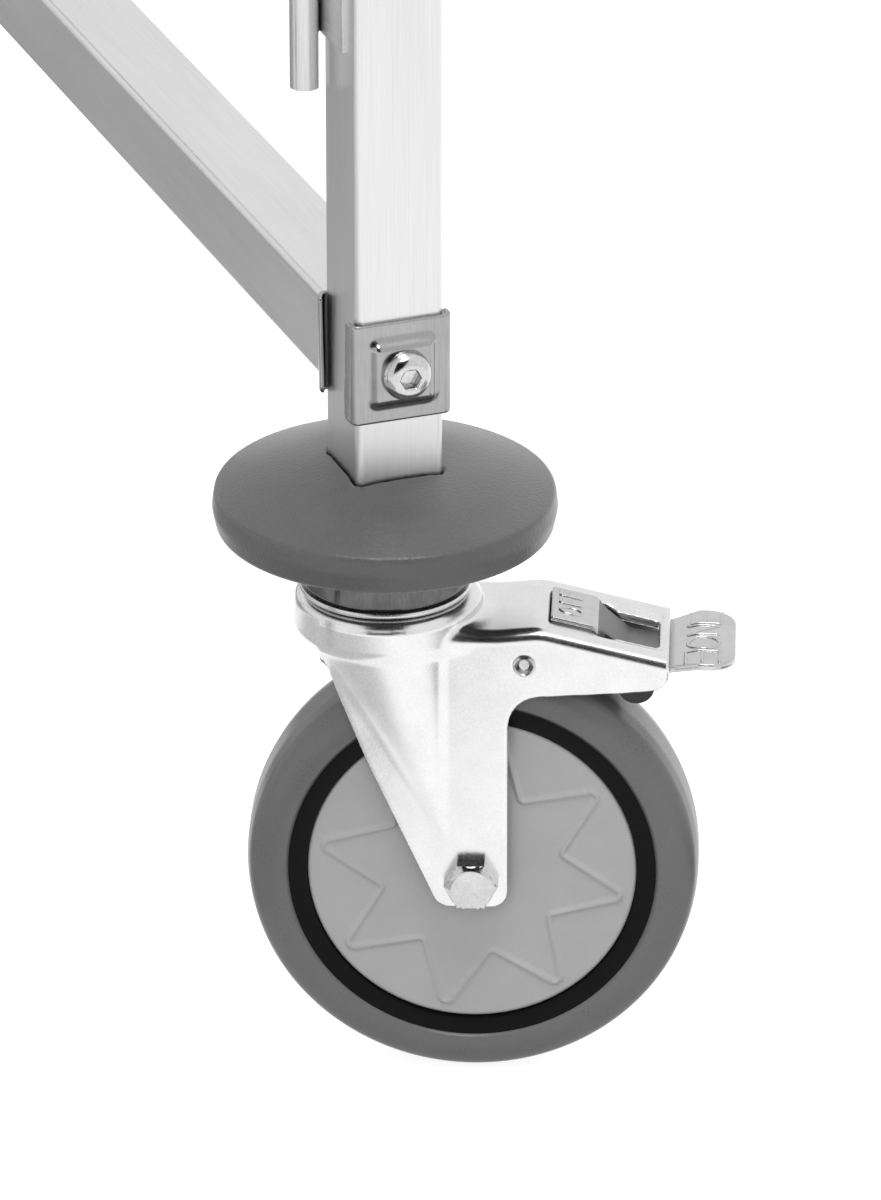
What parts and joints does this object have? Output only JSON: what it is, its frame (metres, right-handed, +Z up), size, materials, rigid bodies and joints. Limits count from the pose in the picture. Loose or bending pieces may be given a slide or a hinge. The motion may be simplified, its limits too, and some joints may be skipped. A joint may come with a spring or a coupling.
{
  "type": "gastronorm tray trolley",
  "caption": "Bolted square-tube racking trolley with paired tray runners and stop rods, on swivel castors with bumper discs; two castors have foot brakes.",
  "frame": {"origin": "on the ground, under the middle of the frame", "axes": "+X to the right across the trolley, +Y along the runners towards the loading end, +Z up"},
  "size_m": [0.546, 0.6268, 0.9],
  "materials": {
    "stainless_tube": "satin, grain along the tube",
    "stainless_sheet": "satin sheet",
    "stainless_rod": "drawn",
    "pressed_clip": "pressed, polished edges",
    "bolt_steel": "bright",
    "plain_steel": "plain",
    "pressed_fork": "bright pressed steel",
    "polished_race": "polished",
    "bumper_rubber": "fine leather grain",
    "grey_tyre": "smooth, matt",
    "core_plastic": "moulded",
    "cover_plastic": "fine moulded grain",
    "cap_plastic": "moulded",
    "sleeve_plastic": "moulded",
    "pad_nylon": "moulded"
  },
  "bodies": {
    "frame": {"post_front_right": "stainless_tube", "post_front_left": "stainless_tube", "post_rear_right": "stainless_tube", "post_rear_left": "stainless_tube", "base_rail_right": "stainless_tube", "base_rail_left": "stainless_tube", "base_cross_rail": "stainless_tube", "top_rail_right": "stainless_tube", "top_rail_left": "stainless_tube", "top_cross_rail_front": "stainless_tube", "top_cross_rail_rear": "stainless_tube", "runners_right": "stainless_sheet", "runners_left": "stainless_sheet", "stop_rods": "stainless_rod", "corner_clips": "pressed_clip", "rail_end_saddles": "pressed_clip", "frame_bolts": "bolt_steel", "threaded_inserts": "plain_steel", "post_caps": "cap_plastic", "bumper_discs": "bumper_rubber", "expander_bolts": "bolt_steel", "expander_sleeves": "sleeve_plastic", "expander_nuts": "plain_steel", "upper_races": "polished_race", "king_rivets": "plain_steel", "swivel_balls": "plain_steel"},
    "castor_front_right": {"fork_front_right": "pressed_fork", "axle_bolt_front_right": "bolt_steel", "axle_sleeve_front_right": "plain_steel", "brake_pins_front_right": "bolt_steel"},
    "wheel_front_right": {"wheel_core_front_right": "core_plastic", "tyre_front_right": "grey_tyre", "hub_covers_front_right": "cover_plastic"},
    "castor_front_left": {"fork_front_left": "pressed_fork", "axle_bolt_front_left": "bolt_steel", "axle_sleeve_front_left": "plain_steel", "brake_pins_front_left": "bolt_steel"},
    "wheel_front_left": {"wheel_core_front_left": "core_plastic", "tyre_front_left": "grey_tyre", "hub_covers_front_left": "cover_plastic"},
    "castor_rear_right": {"fork_rear_right": "pressed_fork", "axle_bolt_rear_right": "bolt_steel", "axle_sleeve_rear_right": "plain_steel"},
    "wheel_rear_right": {"wheel_core_rear_right": "core_plastic", "tyre_rear_right": "grey_tyre", "hub_covers_rear_right": "cover_plastic"},
    "castor_rear_left": {"fork_rear_left": "pressed_fork", "axle_bolt_rear_left": "bolt_steel", "axle_sleeve_rear_left": "plain_steel"},
    "wheel_rear_left": {"wheel_core_rear_left": "core_plastic", "tyre_rear_left": "grey_tyre", "hub_covers_rear_left": "cover_plastic"},
    "pedal_front_right": {"pedal_front_right": "pressed_fork"},
    "brake_arm_front_right": {"brake_arm_front_right": "plain_steel", "brake_pad_front_right": "pad_nylon"},
    "pedal_front_left": {"pedal_front_left": "pressed_fork"},
    "brake_arm_front_left": {"brake_arm_front_left": "plain_steel", "brake_pad_front_left": "pad_nylon"}
  },
  "joints": [
    {"name": "swivel_front_right", "type": "hinge", "parent": "frame", "child": "castor_front_right", "pos_m": [0.18, -0.2625, 0.1433], "axis": [0, 0, 1], "continuous": true},
    {"name": "wheel_spin_front_right", "type": "hinge", "parent": "castor_front_right", "child": "wheel_front_right", "pos_m": [0.20237, -0.27199, 0.0625], "axis": [0.3907, 0.9205, 0], "continuous": true},
    {"name": "swivel_front_left", "type": "hinge", "parent": "frame", "child": "castor_front_left", "pos_m": [-0.18, -0.2625, 0.1433], "axis": [0, 0, 1], "continuous": true},
    {"name": "wheel_spin_front_left", "type": "hinge", "parent": "castor_front_left", "child": "wheel_front_left", "pos_m": [-0.20237, -0.27199, 0.0625], "axis": [0.3907, -0.9205, 0], "continuous": true},
    {"name": "swivel_rear_right", "type": "hinge", "parent": "frame", "child": "castor_rear_right", "pos_m": [0.18, 0.2625, 0.1433], "axis": [0, 0, 1], "continuous": true},
    {"name": "wheel_spin_rear_right", "type": "hinge", "parent": "castor_rear_right", "child": "wheel_rear_right", "pos_m": [0.15862, 0.27406, 0.0625], "axis": [-0.4756, -0.8796, 0], "continuous": true},
    {"name": "swivel_rear_left", "type": "hinge", "parent": "frame", "child": "castor_rear_left", "pos_m": [-0.18, 0.2625, 0.1433], "axis": [0, 0, 1], "continuous": true},
    {"name": "wheel_spin_rear_left", "type": "hinge", "parent": "castor_rear_left", "child": "wheel_rear_left", "pos_m": [-0.15862, 0.27406, 0.0625], "axis": [-0.4756, 0.8796, 0], "continuous": true},
    {"name": "brake_pedal_front_right", "type": "hinge", "parent": "castor_front_right", "child": "pedal_front_right", "pos_m": [0.23523, -0.28594, 0.126], "axis": [0.3907, 0.9205, 0], "range_deg": [0, 12]},
    {"name": "brake_lever_front_right", "type": "hinge", "parent": "castor_front_right", "child": "brake_arm_front_right", "pos_m": [0.21553, -0.27758, 0.1282], "axis": [0.3907, 0.9205, 0], "range_deg": [0, 5]},
    {"name": "brake_pedal_front_left", "type": "hinge", "parent": "castor_front_left", "child": "pedal_front_left", "pos_m": [-0.23523, -0.28594, 0.126], "axis": [0.3907, -0.9205, 0], "range_deg": [0, 12]},
    {"name": "brake_lever_front_left", "type": "hinge", "parent": "castor_front_left", "child": "brake_arm_front_left", "pos_m": [-0.21553, -0.27758, 0.1282], "axis": [0.3907, -0.9205, 0], "range_deg": [0, 5]}
  ],
  "couplings": [
    {"joint": "brake_lever_front_right", "follows": "brake_pedal_front_right", "ratio": 0.4166},
    {"joint": "brake_lever_front_left", "follows": "brake_pedal_front_left", "ratio": 0.4166}
  ]
}
